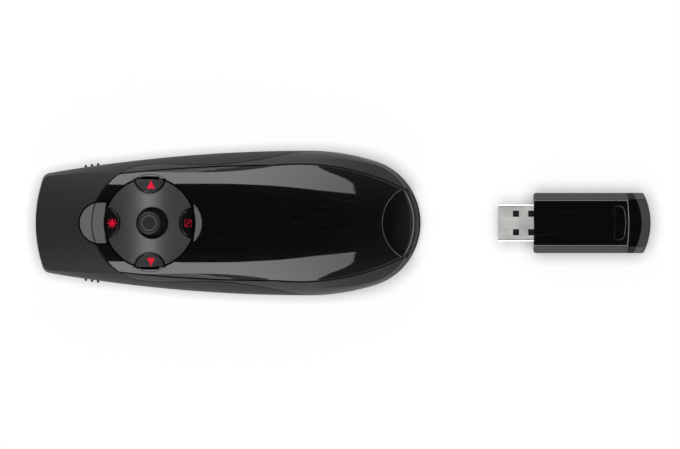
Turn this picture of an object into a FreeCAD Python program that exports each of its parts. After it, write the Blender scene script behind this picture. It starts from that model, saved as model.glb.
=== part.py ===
import FreeCAD, Part
import math
import os

from FreeCAD import Vector

# Wireless presentation clicker with its plug-in receiver.
# Millimetres. The nose points to -X, the tail to +X, the underside rests on z = 0.

# Body outline, seen from above
body_length = 124.8
body_half = 23.44
widest_x = 26.0
nose_half = 15.9
nose_bow = 2.8
nose_corner = 1.8
tail_radius = 21.0

# Body top, one arc along the length and one across
crest_x = -10.7
crest_height = 26.5
crest_radius = 205.6
crown_radius = 40.0
crown_depth = 8.0
crown_spread = 24.0

# Side of the body: levels between the underside and a sloping upper plane
plane_nose_height = 26.0
plane_tail_height = 17.0
shoulder_inset = 5.0
nose_round = 1.6
tail_slope = 6.0
level_height_shares = (0.0, 0.08, 0.25, 0.45, 0.65, 0.82, 1.0, 1.25)
side_inset_shares = (0.5, 0.3, 0.08, 0.0, 0.12, 0.42, 1.0, 2.1)
nose_inset_shares = (0.8, 0.3, 0.0, 0.0, 0.1, 0.3, 0.7, 1.4)
tail_inset_shares = (0.06, 0.0, 0.0, 0.0, 0.1, 0.4, 0.9, 1.6)

# Walls and gaps
case_wall = 1.8
cover_wall = 1.5
cover_edge = 0.4
seam_gap = 0.2
move_gap = 0.2
over = 1.0
touch = 0.001
ledge_width = 2.2
ledge_thick = 1.2

# Gloss top cover, seen from above
cover_front_radius = 18.6
cover_front_angle = 58.0
cover_low = 11.6
cover_half = 18.5
cover_widest_x = 15.0
cover_shoulder_x = 40.0
cover_shoulder_half = 17.0
cover_tail_x = 56.4
cover_tail_half = 11.0
notch_depth = 6.5

# Crease between the side band and the lower case, as shares of length and height
crease_shares = ((-0.28, 0.823), (-0.226, 0.7), (-0.143, 0.715), (-0.03, 0.755), (0.05, 0.7),
                 (0.13, 0.59), (0.2, 0.44), (0.29, 0.36), (0.38, 0.365), (0.46, 0.45),
                 (0.52, 0.56))

# Control dish and the buttons round it
dish_x = -25.2
dish_radius = 14.6
dish_wall = 1.6
dish_skirt = 1.2
dish_flange = 1.4
well_radius = 5.1
well_shift = 1.0
button_radius = 5.0
button_chord = 14.1
button_centre = 14.7
button_proud = 0.9
button_tilt = 14.0
button_edge = 0.35
button_travel = 0.5
button_flange = 0.7
button_flange_thick = 0.9
stem_radius = 1.1
thumb_scoop_half = 6.8
thumb_scoop_edge = 0.25
thumb_scoop_slope_share = 0.07
thumb_scoop_reach = 22.8
relief_radius = 8.5
relief_edge = 0.2
rear_reach = 16.9
rear_depth = 0.25
side_reach = 15.7
side_depth = 0.75
flange_gap = 0.45
dish_skirt_drop = 3.3

# Main board and the dome switches
board_floor = 14.2
board_thick = 1.2
board_front_x = -44.0
board_rear_x = 3.0
board_half = 15.0
board_corner = 2.0
switch_side = 5.0
switch_height = 0.8
dome_radius = 1.9
dome_height = 0.5
switch_place = 12.1

# Joystick
stick_x = -25.4
module_side = 11.0
module_height = 4.6
ring_outer = 4.3
ring_inner = 3.2
ring_thick = 1.1
ring_pin_radius = 0.45
pivot_height = 2.6
stick_radius = 1.0
stick_ball_radius = 1.7
cap_radius = 3.65
cap_skirt_radius = 3.1
cap_top_radius = 2.5
cap_thick = 2.2
cap_round = 0.7
cap_rim = 0.35
cap_hollow = 0.42
bend_share = 0.3
cap_skirt = 1.3
cap_proud = 0.7
cap_press = 0.5
module_corner = 0.8
module_floor = 0.7
module_skin = 0.3
ring_gap = 0.25
pin_clearance = 0.05
stick_foot = 1.4

# Cells, contacts and the battery door
cell_radius = 5.1
cell_length = 43.3
cell_nub_radius = 1.9
cell_nub_length = 1.1
cell_spacing = 10.7
cell_front_x = -49.6
cell_gap = 0.3
cell_room = 3.4
door_wall = 1.4
door_top = 7.4
door_front_x = -64.0
door_rear_x = -1.2
tray_wall = 1.1
contact_room = 2.0
contact_thick = 0.4
cell_touch = 0.1
cell_round = 0.4
spring_wide = 3.6
spring_narrow = 2.4
spring_bore = 1.6
board_post_front_x = -36.0
board_post_rear_x = -6.0
board_post_y = 8.0
board_post_radius = 1.8
rib_proud = 0.9
rib_count = 3
rib_x = -44.3
rib_pitch = 2.0
rib_width = 0.7
rib_low = 2.4
rib_high = 7.0
rib_inner = 12.0
laser_z = 13.0
laser_radius = 3.2
laser_length = 7.2
bezel_radius = 3.0
lens_thick = 0.9
diode_can_radius = 1.6
diode_length = 3.6
diode_base = 1.2
laser_collar = 4.2
aperture_radius = 2.3

# Board parts
chip_x = -2.0
chip_side = 5.0
chip_height = 0.9
crystal_long = 3.2
crystal_wide = 2.5
crystal_high = 0.8
crystal_corner = 0.5

# Case screws and the power switch
screw_front_x = 6.0
screw_front_y = 17.0
screw_rear_x = 44.0
screw_rear_y = 15.4
screw_radius = 1.1
screw_gap = 0.05
screw_head_radius = 2.0
screw_head_thick = 1.2
screw_seat_z = 2.6
screw_boss_radius = 2.6
screw_boss_top = 10.6
screw_tip_z = 13.0
roof_thick = 1.1
power_half = 2.4
power_length = 4.4
power_skin = 0.6
plunger_y = 5.2
plunger_round = 0.33
plunger_half = 1.0
plunger_travel = 1.0
plunger_tip_gap = 0.2

# Receiver bay and receiver
receiver_length = 49.4
receiver_half = 9.75
receiver_height = 8.5
receiver_wall = 1.0
receiver_round = 1.6
receiver_body_length = 37.9
plug_half = 6.0
plug_height = 4.5
plug_wall = 0.3
bay_gap = 0.3
bay_rise_angle = 1.8
bay_wall = 1.2
bay_end_gap = 1.1
receiver_tip_x = 87.5
receiver_travel = 75.0
receiver_bevel = 2.05
receiver_nose_round = 0.8
plate_gap = 0.05
plate_thick = 1.2
plate_bevel = 0.45
plate_bevel_drop = 0.18
recess_edge = 0.5
recess_depth_x = 3.8
recess_radius = 5.6
recess_drop = 0.6
lens_side = 1.6
end_cap_side = 3.5
end_cap_middle = 3.0
end_bow = 2.4
end_cap_round = 0.5
plug_round = 0.5
plug_seat = 4.0
latch_hole = 2.0
latch_x = 5.75
latch_rear_x = 10.7
latch_y = 3.0
tongue_back = 0.7
tongue_thick = 1.9
contact_count = 4
contact_pitch = 2.3
contact_wide = 1.0
contact_thin = 0.15
receiver_board_z = 3.4
receiver_board_thick = 0.8
receiver_chip_x = 14.0
receiver_crystal_x = 22.0
mouth_rise = 2.4
mouth_lip = 1.0
mouth_bevel = 1.35
mouth_drop = 0.35
mouth_groove = 0.2


# Heights of the outside at a place along the body
def crest_z(x, inset=0.0):
    radius = crest_radius
    return crest_height - inset - (radius - math.sqrt(radius ** 2 - (x - crest_x) ** 2))


def crown_drop(y):
    return crown_radius - math.sqrt(crown_radius ** 2 - y ** 2)


def plane_z(x):
    share = x / body_length + 0.5
    return plane_nose_height + share * (plane_tail_height - plane_nose_height)


# Small helpers for faces and solids
def arc(a, b, c):
    return Part.Arc(a, b, c).toShape()


def line(a, b):
    return Part.LineSegment(a, b).toShape()


def prism(edges, direction):
    return Part.Face(Part.Wire(edges)).extrude(direction)


def polygon_prism(points, direction):
    return Part.Face(Part.makePolygon(points + points[:1])).extrude(direction)


def box(x0, x1, y0, y1, z0, z1):
    return Part.makeBox(x1 - x0, y1 - y0, z1 - z0, Vector(x0, y0, z0))


def rod(radius, x, y, z0, z1):
    return Part.makeCylinder(radius, z1 - z0, Vector(x, y, z0))


def rod_x(radius, x0, x1, y, z):
    return Part.makeCylinder(radius, x1 - x0, Vector(x0, y, z), Vector(1, 0, 0))


def rounded_plate(x0, x1, half, corner, z0, z1):
    plate = box(x0, x1, -half, half, z0, z1)
    return plate.makeFillet(corner, [e for e in plate.Edges if is_upright(e)])


def is_upright(edge):
    a, b = edge.Vertexes[0].Point, edge.Vertexes[-1].Point
    return math.hypot(a.x - b.x, a.y - b.y) < touch and len(edge.Vertexes) == 2


def largest(shape):
    return max(shape.Solids, key=lambda s: s.Volume)


def save(name, shape):
    shape = shape.removeSplitter()
    if not shape.isValid():
        print("check", name, "is not valid")
    print("%-22s solids %d  volume %.1f" % (name, len(shape.Solids), shape.Volume))
    shape.exportStep("parts/%s.step" % name)
    return shape


# Body outline at one level, as arcs on a sloping plane
def outline_wire(nose_in, side_in, tail_in, height):
    half = body_half - side_in
    front = -body_length / 2 + nose_in
    corner_x = front + nose_bow
    corner_y = nose_half - side_in
    tail_r = tail_radius - tail_in
    tail_c = body_length / 2 - tail_radius
    run = tail_c - widest_x
    shoulder_r = (run ** 2 + half ** 2 - tail_r ** 2) / (2 * (half - tail_r))
    reach = shoulder_r - tail_r
    tangent_x = tail_c + tail_r * run / reach
    tangent_y = tail_r * (shoulder_r - half) / reach
    bow = (half - corner_y) / (corner_x - widest_x) ** 2

    def side_y(x):
        return half - bow * (x - widest_x) ** 2

    def nose_x(y):
        return front + nose_bow * (y / corner_y) ** 2

    def at(x, y):
        return Vector(x, y, height * plane_z(x))

    inner_y = corner_y - nose_corner
    before = at(nose_x(inner_y), inner_y)
    after_x = corner_x + nose_corner
    after = at(after_x, side_y(after_x))
    corner = (before + after) * 0.25 + at(corner_x, corner_y) * 0.5
    middle_x = (after_x + widest_x) / 2
    middle = at(middle_x, side_y(middle_x))
    widest = at(widest_x, half)
    shoulder_x = (widest_x + tangent_x) / 2
    shoulder_y = half - shoulder_r + math.sqrt(shoulder_r ** 2 - (shoulder_x - widest_x) ** 2)
    shoulder = at(shoulder_x, shoulder_y)
    tangent = at(tangent_x, tangent_y)
    upper = [before, corner, after, middle, widest, shoulder, tangent]
    lower = [Vector(p.x, -p.y, p.z) for p in upper]
    edges = [arc(lower[0], at(front, 0), upper[0])]
    edges += [arc(*upper[i:i + 3]) for i in (0, 2, 4)]
    edges.append(arc(upper[6], at(tail_c + tail_r, 0), lower[6]))
    edges += [arc(*reversed(lower[i:i + 3])) for i in (4, 2, 0)]
    return Part.Wire(edges)


# Closed form of the body, every face moved in by the wall
def side_form(wall):
    wires = []
    shares = zip(level_height_shares, nose_inset_shares, side_inset_shares, tail_inset_shares)
    for height, nose, side, tail in shares:
        wires.append(outline_wire(nose * nose_round + wall, side * shoulder_inset + wall,
                                  tail * tail_slope + wall, height))
    return Part.makeLoft(wires, True, False)


def crown_form(wall):
    half = body_half + over
    top = crest_height - wall
    radius = crown_radius - wall
    centre_z = crest_height - crown_radius
    edge_z = centre_z + math.sqrt(radius ** 2 - half ** 2)
    left, right = Vector(crest_x, -half, edge_z), Vector(crest_x, half, edge_z)
    low_right, low_left = Vector(crest_x, half, -crown_depth), Vector(crest_x, -half, -crown_depth)
    face = Part.Face(Part.Wire([arc(left, Vector(crest_x, 0, top), right), line(right, low_right),
                                line(low_right, low_left), line(low_left, left)]))
    hub = Vector(crest_x, 0, crest_height - crest_radius)
    face.rotate(hub, Vector(0, 1, 0), -crown_spread)
    return face.revolve(hub, Vector(0, 1, 0), 2 * crown_spread)


made_forms = {}


def made_once(name, maker):
    if name not in made_forms:
        made_forms[name] = maker()
    return made_forms[name]


def body_form(wall):
    def make():
        form = side_form(wall).common(crown_form(wall))
        return form.common(slab(wall, crest_height)) if wall > 0 else form

    return made_once(wall, make)


# Plan shapes that the shells share
def cover_plan(grow):
    radius = cover_front_radius + grow
    angle = math.radians(cover_front_angle)
    front = Vector(dish_x - radius, 0, 0)
    corner = Vector(dish_x - radius * math.cos(angle), radius * math.sin(angle), 0)
    half = cover_half + grow
    middle = Vector((corner.x + cover_widest_x) / 2, half - (half - corner.y) / 4, 0)
    widest = Vector(cover_widest_x, half, 0)
    shoulder = Vector(cover_shoulder_x, cover_shoulder_half + grow, 0)
    tail = Vector(cover_tail_x + grow, cover_tail_half + grow, 0)
    notch = Vector(cover_tail_x - notch_depth + grow, 0, 0)

    def flip(p):
        return Vector(p.x, -p.y, 0)

    edges = [arc(flip(corner), front, corner), arc(corner, middle, widest),
             arc(widest, shoulder, tail), arc(tail, notch, flip(tail)),
             arc(flip(tail), flip(shoulder), flip(widest)),
             arc(flip(widest), flip(middle), flip(corner))]
    return prism(edges, Vector(0, 0, crest_height + over))


def notch_plan(grow):
    tail = Vector(cover_tail_x, cover_tail_half, cover_low - mouth_rise)
    flip = Vector(tail.x, -tail.y, tail.z)
    notch = Vector(cover_tail_x - notch_depth - grow, 0, tail.z)
    far, far_flip = Vector(body_length, tail.y, tail.z), Vector(body_length, -tail.y, tail.z)
    edges = [arc(flip, notch, tail), line(tail, far), line(far, far_flip), line(far_flip, flip)]
    return prism(edges, Vector(0, 0, crest_height))


# Everything below the crease line, nose included
def below_crease(gap):
    points = [Vector(x * body_length, -body_length, z * crest_height + gap) for x, z in crease_shares]
    curve = Part.BSplineCurve()
    curve.interpolate(points)
    first, last = points[0], points[-1]
    high = crest_height + over
    corners = [last, Vector(last.x, last.y, -over), Vector(-body_length, last.y, -over),
               Vector(-body_length, last.y, high), Vector(first.x, first.y, high), first]
    edges = [curve.toShape()] + [line(a, b) for a, b in zip(corners, corners[1:])]
    return prism(edges, Vector(0, 2 * body_length, 0))


def slab(low, high):
    return box(-body_length, body_length, -body_half - over, body_half + over, low, high)


# Receiver bay: ramped floor, flat ceiling, open at the tail
def bay_rise(x):
    return (receiver_tip_x + receiver_length - receiver_body_length - x) * math.tan(
        math.radians(bay_rise_angle))


def bay_floor_z(x):
    return bay_rise(x) - move_gap


def bay_ceiling_z():
    return receiver_height + receiver_travel * math.sin(math.radians(bay_rise_angle)) + bay_gap


def bay_inner_x():
    return receiver_tip_x - receiver_travel - bay_end_gap


def bay_half():
    return receiver_half + bay_gap


def bay_space():
    near, far, half = bay_inner_x(), body_length, bay_half()
    top = bay_ceiling_z()
    points = [Vector(near, -half, bay_floor_z(near)), Vector(far, -half, bay_floor_z(far)),
              Vector(far, -half, top), Vector(near, -half, top)]
    return polygon_prism(points, Vector(0, 2 * half, 0))


# Battery door: it wraps the underside of the nose half
def door_space(grow):
    skin = body_form(0).cut(body_form(door_wall + grow))
    return skin.common(box(door_front_x - grow, door_rear_x + grow, -body_half, body_half,
                           -over, door_top + grow))


def cell_axis_z():
    return door_wall + cell_gap + cell_radius


def cell_rear_x():
    return cell_front_x + cell_length + cell_nub_length


def tray_front_x():
    return cell_front_x - contact_room


def tray_rear_x():
    return cell_rear_x() + cell_room


def tray_roof_z():
    return cell_axis_z() + cell_radius + cell_gap


# Screw places: two beside the bay, two behind the battery tray, as (x, y)
def screw_places():
    return [(x, side * y) for x, y in ((screw_front_x, screw_front_y), (screw_rear_x, screw_rear_y))
            for side in (-1, 1)]


def lower_case():
    shell = body_form(0).cut(body_form(case_wall))
    case = shell.common(below_crease(0))
    case = case.cut(cover_plan(seam_gap).common(slab(cover_low, crest_height + over)))
    case = case.cut(door_space(seam_gap))
    window = box(tray_front_x(), tray_rear_x(), -tray_half(), tray_half(), -over, cell_axis_z())
    case = case.fuse(door_liner()).cut(window).fuse(bay_walls()).fuse(battery_tray())
    case = case.fuse(laser_collar_ring()).cut(bay_space()).cut(mouth_bevel_ring())
    for x, y in screw_places():
        case = case.cut(rod(screw_head_radius + move_gap, x, y, -over, screw_seat_z))
        case = case.cut(rod(screw_radius + screw_gap, x, y, -over, screw_boss_top + over))
    case = case.cut(rod_x(laser_radius, nose_inner_x(), tray_front_x() - tray_wall, 0, laser_z))
    case = case.cut(rod_x(bezel_radius, -body_length, nose_inner_x(), 0, laser_z))
    return largest(case.cut(thumb_scoop()).cut(made_once("band", side_band)))


def nose_inner_x():
    return -body_length / 2 + case_wall


# Second skin behind the door, with the window through which the cells go in
def door_liner():
    outer = body_form(door_wall + seam_gap)
    inner = body_form(door_wall + seam_gap + tray_wall)
    reach = door_wall
    ring = outer.cut(inner).common(box(door_front_x - reach, door_rear_x + reach, -body_half,
                                       body_half, -over, door_top + reach + tray_wall))
    ends = [box(x, x + tray_wall, -body_half, body_half, -over, door_top)
            for x in (door_front_x - seam_gap - tray_wall, door_rear_x + seam_gap)]
    ends = [end.common(body_form(case_wall / 2)) for end in ends]
    return ring.fuse(ends)


def tray_half():
    return cell_spacing / 2 + cell_radius + cell_gap


# Box over the cells: roof, two side walls and two end walls
def battery_tray():
    x0, x1, half = tray_front_x(), tray_rear_x(), tray_half()
    floor = door_wall + seam_gap
    outer = box(x0 - tray_wall, x1 + tray_wall, -half - tray_wall, half + tray_wall, floor,
                tray_roof_z() + tray_wall)
    tray = outer.cut(box(x0, x1, -half, half, -over, tray_roof_z()))
    for x in (board_post_front_x, board_post_rear_x):
        for side in (-1, 1):
            tray = tray.fuse(rod(board_post_radius, x, side * board_post_y, tray_roof_z(), board_floor))
    return tray


def bay_walls():
    near, half = bay_inner_x(), bay_half()
    far = body_length / 2
    block = box(near - bay_wall, far, -half - bay_wall, half + bay_wall, case_wall / 2,
                bay_ceiling_z())
    plunger_hole = box(near - bay_wall - over, near + over, plunger_y - plunger_half - move_gap,
                       plunger_y + plunger_half + move_gap, plunger_z() - plunger_half - move_gap,
                       plunger_z() + plunger_half + move_gap)
    block = block.common(body_form(0)).cut(notch_plan(0).common(slab(bay_lip_z(), crest_height)))
    for x, y in screw_places():
        block = block.fuse(rod(screw_boss_radius, x, y, case_wall / 2, screw_boss_top))
    return block.cut(plunger_hole)


def bay_lip_z():
    return bay_ceiling_z() - mouth_rise


# Bevel round the tail where the bay floor falls to a groove, and the low lip outside it
def mouth_bevel_ring():
    centre_x = body_length / 2 - tail_radius
    outer = tail_radius - mouth_lip
    inner = outer - mouth_bevel
    top = bay_floor_z(centre_x + inner)
    low = top - mouth_drop
    lip_x = tail_radius + over
    lip_z = bay_floor_z(centre_x + tail_radius)
    points = [Vector(inner, 0, top), Vector(outer, 0, low), Vector(outer, 0, low - mouth_groove),
              Vector(outer + mouth_groove, 0, low - mouth_groove), Vector(outer + mouth_groove, 0, lip_z),
              Vector(lip_x, 0, lip_z), Vector(lip_x, 0, bay_ceiling_z()),
              Vector(inner, 0, bay_ceiling_z())]
    face = Part.Face(Part.makePolygon(points + points[:1]))
    ring = face.revolve(Vector(0, 0, 0), Vector(0, 0, 1), 360)
    ring.translate(Vector(centre_x, 0, 0))
    return ring.common(box(centre_x, body_length, -bay_half(), bay_half(), -over, crest_height))


def laser_collar_ring():
    x0, x1 = nose_inner_x() - case_wall / 2, nose_inner_x() + laser_length / 2
    ring = rod_x(laser_collar, x0, x1, 0, laser_z)
    nose = body_form(0).common(box(-body_length, x1, -laser_collar, laser_collar, 0, crest_height))
    return ring.common(nose)


# Side band with its ledge under the cover and the roof of the bay
def side_band():
    shell = body_form(0).cut(body_form(case_wall))
    band = shell.cut(below_crease(seam_gap)).cut(cover_plan(seam_gap))
    band = band.common(slab(door_top, crest_height + over))
    lip = cover_plan(seam_gap + over).cut(cover_plan(-ledge_width))
    ledge = body_form(cover_wall).cut(body_form(cover_wall + ledge_thick))
    ledge = ledge.common(lip).common(slab(cover_low, crest_height))
    roof = box(bay_inner_x() - bay_wall, body_length / 2, -bay_half() - bay_wall,
               bay_half() + bay_wall, bay_ceiling_z(), bay_ceiling_z() + roof_thick)
    roof = roof.common(body_form(cover_wall))
    curtain = notch_plan(seam_gap + roof_thick).cut(notch_plan(seam_gap))
    curtain = curtain.common(body_form(cover_wall)).common(slab(bay_ceiling_z(), crest_height))
    for x, y in screw_places():
        post = rod(screw_boss_radius, x, y, screw_boss_top, crest_height)
        band = band.fuse(post.common(body_form(cover_wall)))
    band = band.fuse(ledge).fuse(roof).fuse(curtain).cut(notch_plan(seam_gap)).cut(bay_space())
    for x, y in screw_places():
        band = band.cut(rod(screw_radius + screw_gap, x, y, 0, screw_tip_z + seam_gap))
    band = band.cut(thumb_scoop()).cut(dish_hole(dish_flange + move_gap))
    band = band.cut(made_once("cover", cover_blank))
    return largest(band)


# Gloss top cover
def cover_blank():
    shell = body_form(0).cut(body_form(cover_wall)).common(slab(cover_low, crest_height + over))
    return shell.common(cover_plan(0))


def outer_rim(shape):
    rim = []
    for edge in shape.Edges:
        middle = edge.valueAt((edge.FirstParameter + edge.LastParameter) / 2)
        below = middle - Vector(0, 0, cover_edge)
        on_top = body_form(0).isInside(middle, touch, True) and shape.isInside(below, touch, True)
        if on_top and not is_upright(edge):
            rim.append(edge)
    return rim


def top_cover():
    blank = made_once("cover", cover_blank)
    blank = blank.makeFillet(cover_edge, outer_rim(blank))
    cover = blank.cut(dish_hole(seam_gap)).cut(thumb_scoop())
    cover = cover.cut(rear_scoop()).cut(side_scoop(-1)).cut(side_scoop(1))
    for angle in (0, 90, 180, 270):
        cover = cover.cut(button_plan(angle, move_gap, slab_low=0))
    return cover


def dish_hole(grow):
    return rod(dish_radius + grow, dish_x, 0, 0, crest_height + over)


# Space over a floor that follows the crown across the body and slopes along it
def above_floor(x, z, slope):
    half, reach = body_half, body_half
    side_z = z - crown_drop(half)
    top = crest_height + over
    start = x - reach
    lift = slope * reach

    def at(y, height):
        return Vector(start, y, height - lift)

    edges = [arc(at(-half, side_z), at(0, z), at(half, side_z)), line(at(half, side_z), at(half, top)),
             line(at(half, top), at(-half, top)), line(at(-half, top), at(-half, side_z))]
    return prism(edges, Vector(reach + reach, 0, slope * (reach + reach)))


# Scoop that leads the thumb over the nose to the laser button, round in front
def thumb_scoop():
    front, rear = dish_x - thumb_scoop_reach, dish_x - button_chord
    half = thumb_scoop_half
    plan = rod(half, front + half, 0, 0, crest_height + over)
    plan = plan.cut(box(front + half, rear, -body_half, body_half, -over, crest_height + over))
    plan = plan.cut(box(rear, 0, -body_half, body_half, -over, crest_height + over))
    plan = plan.fuse(box(front + half, rear, -half, half, 0, crest_height + over))
    floor = above_floor(front, crest_z(front) - thumb_scoop_edge, thumb_scoop_slope_share)
    return plan.common(floor)


# Relief in the cover beyond a button, with a shallow sloping floor
def relief(reach, depth):
    edge_x = dish_x + reach
    slope = depth / (reach - button_chord)
    plan = rod(relief_radius, edge_x - relief_radius, 0, 0, crest_height + over)
    plan = plan.common(box(dish_x + button_chord, edge_x, -relief_radius, relief_radius, 0,
                           crest_height + over))
    return plan.common(above_floor(edge_x, crest_z(edge_x) - relief_edge, slope))


def rear_scoop():
    return relief(rear_reach, rear_depth)


# Same relief in the sloping side of the crown, tilted with the crest
def side_scoop(side):
    reach = side_reach
    plan = rod(relief_radius, dish_x, reach - relief_radius, 0, crest_height + over)
    plan = plan.common(box(dish_x - relief_radius, dish_x + relief_radius, button_chord, reach, 0,
                           crest_height + over))
    edge_z = crest_z(dish_x) - crown_drop(reach) - relief_edge
    low_z = edge_z - side_depth
    fall = (crest_z(dish_x + relief_radius) - crest_z(dish_x - relief_radius)) / (
        relief_radius + relief_radius)
    x0, lift = dish_x - relief_radius, fall * relief_radius
    top = crest_height + over
    points = [Vector(x0, button_chord, low_z - lift), Vector(x0, reach, edge_z - lift),
              Vector(x0, reach, top), Vector(x0, button_chord, top)]
    length = relief_radius + relief_radius
    cut = plan.common(polygon_prism(points, Vector(length, 0, fall * length)))
    return cut if side > 0 else cut.mirror(Vector(0, 0, 0), Vector(0, 1, 0))


# Dish surface: hollow along the body, level across it, flush with the cover all round
def dish_z(x):
    share = (x - dish_x) / dish_radius
    front, rear = crest_z(dish_x - dish_radius), crest_z(dish_x + dish_radius)
    depth = crown_drop(dish_radius)
    return (front + rear) / 2 + share * (rear - front) / 2 - depth * (1 - share ** 2)


def above_dish(drop):
    half = dish_radius + dish_flange + over
    side = -half
    places = [Vector(dish_x + x, side, dish_z(dish_x + x) - drop) for x in (-half, 0, half)]
    high = crest_height + dish_radius
    corners = [places[2], Vector(places[2].x, side, high), Vector(places[0].x, side, high), places[0]]
    edges = [arc(*places)] + [line(a, b) for a, b in zip(corners, corners[1:])]
    return prism(edges, Vector(0, 2 * half, 0))


def control_dish():
    inner = rod(dish_radius - dish_skirt, dish_x, 0, 0, crest_height).cut(above_dish(dish_wall))
    dish = dish_hole(0).common(body_form(0)).cut(above_dish(0)).cut(inner)
    dish = dish.common(slab(dish_z(dish_x) - dish_skirt_drop, crest_height))
    flange = body_form(cover_wall).cut(body_form(cover_wall + ledge_thick))
    flange = flange.common(dish_hole(dish_flange).cut(dish_hole(-dish_skirt)))
    flange = flange.common(slab(cover_low, crest_height))
    dish = dish.fuse(flange)
    dish = dish.cut(rod(well_radius, stick_x + well_shift, 0, 0, crest_height)).cut(thumb_scoop())
    for angle in (0, 90, 180, 270):
        dish = dish.cut(button_plan(angle, move_gap, 0))
        dish = dish.cut(button_plan(angle, button_flange + move_gap, 0,
                                    button_flange_z(angle) + flange_gap / 2))
    return dish


# Button plan: a half disc, cut flat on the side away from the dish centre
def button_plan(angle, grow, slab_low, slab_high=None):
    high = crest_height + over if slab_high is None else slab_high
    radius = button_radius + grow
    disc = rod(radius, dish_x + button_centre, 0, slab_low, high)
    plan = disc.common(box(dish_x, dish_x + button_chord + grow, -radius, radius, slab_low, high))
    plan.rotate(Vector(dish_x, 0, 0), Vector(0, 0, 1), angle)
    return plan


def button_inner():
    return button_centre - button_radius


def button_place(angle, reach):
    return dish_x + reach * round(math.cos(math.radians(angle)))


def button_flange_z(angle):
    return dish_z(button_place(angle, button_inner() - button_flange)) - dish_wall - flange_gap


def board_top():
    return board_floor + board_thick


def dome_top():
    return board_top() + switch_height + dome_height


# Button: sloping gloss cap, flange that keeps it in and stem that works the dome switch
def button(angle):
    top_z = dish_z(button_place(angle, button_inner())) + button_proud
    fall = (button_chord - button_inner()) * math.tan(math.radians(button_tilt))
    flange_z = button_flange_z(angle)
    cap = button_plan(0, 0, flange_z)
    x0, x1 = dish_x + button_inner(), dish_x + button_chord
    slope = fall / (x1 - x0)
    half = button_radius + over
    points = [Vector(x0 - over, -half, top_z + slope * over), Vector(x1 + over, -half,
              top_z - fall - slope * over), Vector(x1 + over, -half, flange_z - over),
              Vector(x0 - over, -half, flange_z - over)]
    cap = cap.common(polygon_prism(points, Vector(0, 2 * half, 0)))
    rim = [e for e in cap.Edges if e.BoundBox.ZMin > flange_z + button_edge and not is_upright(e)]
    cap = cap.makeFillet(button_edge, rim)
    cap.rotate(Vector(dish_x, 0, 0), Vector(0, 0, 1), angle)
    flange = button_plan(angle, button_flange, flange_z - button_flange_thick, flange_z)
    stem = rod(stem_radius, dish_x + switch_place, 0, dome_top() + button_travel + move_gap / 2,
               flange_z - button_flange_thick)
    stem.rotate(Vector(dish_x, 0, 0), Vector(0, 0, 1), angle)
    return cap.fuse(flange).fuse(stem)


# Joystick: housing, gimbal ring, stick and cap
def pivot_z():
    return board_top() + pivot_height


def module_housing():
    half = module_side / 2
    block = box(stick_x - half, stick_x + half, -half, half, board_top(), board_top() + module_height)
    block = block.makeFillet(module_corner, [e for e in block.Edges if is_upright(e)])
    block = block.cut(rod(ring_outer + ring_gap, stick_x, 0, board_top() + module_floor,
                          board_top() + module_height))
    bore = Part.makeCylinder(ring_pin_radius + pin_clearance, module_side,
                             Vector(stick_x, -half, pivot_z()), Vector(0, 1, 0))
    return block.cut(bore)


def gimbal_ring():
    low = pivot_z() - ring_thick / 2
    ring = rod(ring_outer, stick_x, 0, low, low + ring_thick)
    ring = ring.cut(rod(ring_inner, stick_x, 0, low, low + ring_thick))
    ring = ring.cut(rod_x(ring_pin_radius + pin_clearance, stick_x - ring_outer - over,
                          stick_x + ring_outer + over, 0, pivot_z()))
    middle = (ring_outer + ring_inner) / 2
    length = module_side / 2 - module_skin - middle
    for side in (-1, 1):
        ring = ring.fuse(Part.makeCylinder(ring_pin_radius, length,
                                           Vector(stick_x, side * middle, pivot_z()),
                                           Vector(0, side, 0)))
    return ring


def cap_low_z():
    return crest_z(dish_x) + cap_proud - cap_thick


def joystick_stick():
    ball = Part.makeSphere(stick_ball_radius, Vector(stick_x, 0, pivot_z()))
    reach = (ring_outer + ring_inner) / 2
    pins = rod_x(ring_pin_radius, stick_x - reach, stick_x + reach, 0, pivot_z())
    shaft = rod(stick_radius, stick_x, 0, pivot_z(), cap_low_z())
    foot = rod(stick_radius, stick_x, 0, pivot_z() - stick_foot, pivot_z())
    return ball.fuse(pins).fuse(shaft).fuse(foot)


def joystick_cap():
    low, high = cap_low_z(), cap_low_z() + cap_thick

    def at(r, z):
        return Vector(stick_x + r, 0, z)

    socket = stick_radius + pin_clearance
    skirt_low = low - cap_skirt
    points = [at(socket, skirt_low), at(cap_skirt_radius, skirt_low), at(cap_skirt_radius, low),
              at(cap_radius, low), at(cap_radius, high - cap_round)]
    bend = cap_round * bend_share
    shoulder = [at(cap_radius, high - cap_round), at(cap_radius - bend, high - bend),
                at(cap_radius - cap_round, high)]
    inner = [at(cap_radius - cap_round, high), at(cap_top_radius, high),
             at(cap_top_radius - cap_rim, high - cap_rim), at(0, high - cap_hollow),
             at(0, low + cap_press + pin_clearance), at(socket, low + cap_press + pin_clearance),
             at(socket, skirt_low)]
    edges = [line(a, b) for a, b in zip(points, points[1:])] + [arc(*shoulder)]
    edges += [line(a, b) for a, b in zip(inner, inner[1:])]
    face = Part.Face(Part.Wire(edges))
    return face.revolve(Vector(stick_x, 0, 0), Vector(0, 0, 1), 360)


# Main board and what is soldered on it
def main_board():
    board = rounded_plate(board_front_x, board_rear_x, board_half, board_corner, board_floor,
                          board_top())
    return board


def dome_switches():
    group = []
    for angle in (0, 90, 180, 270):
        x, low, half = dish_x + switch_place, board_top(), switch_side / 2
        base = box(x - half, x + half, -half, half, low, low + switch_height)
        dome = Part.makeCone(dome_radius, dome_radius / 2, dome_height,
                             Vector(x, 0, low + switch_height))
        switch = base.fuse(dome)
        switch.rotate(Vector(dish_x, 0, 0), Vector(0, 0, 1), angle)
        group.append(switch)
    return Part.makeCompound(group)


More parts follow.
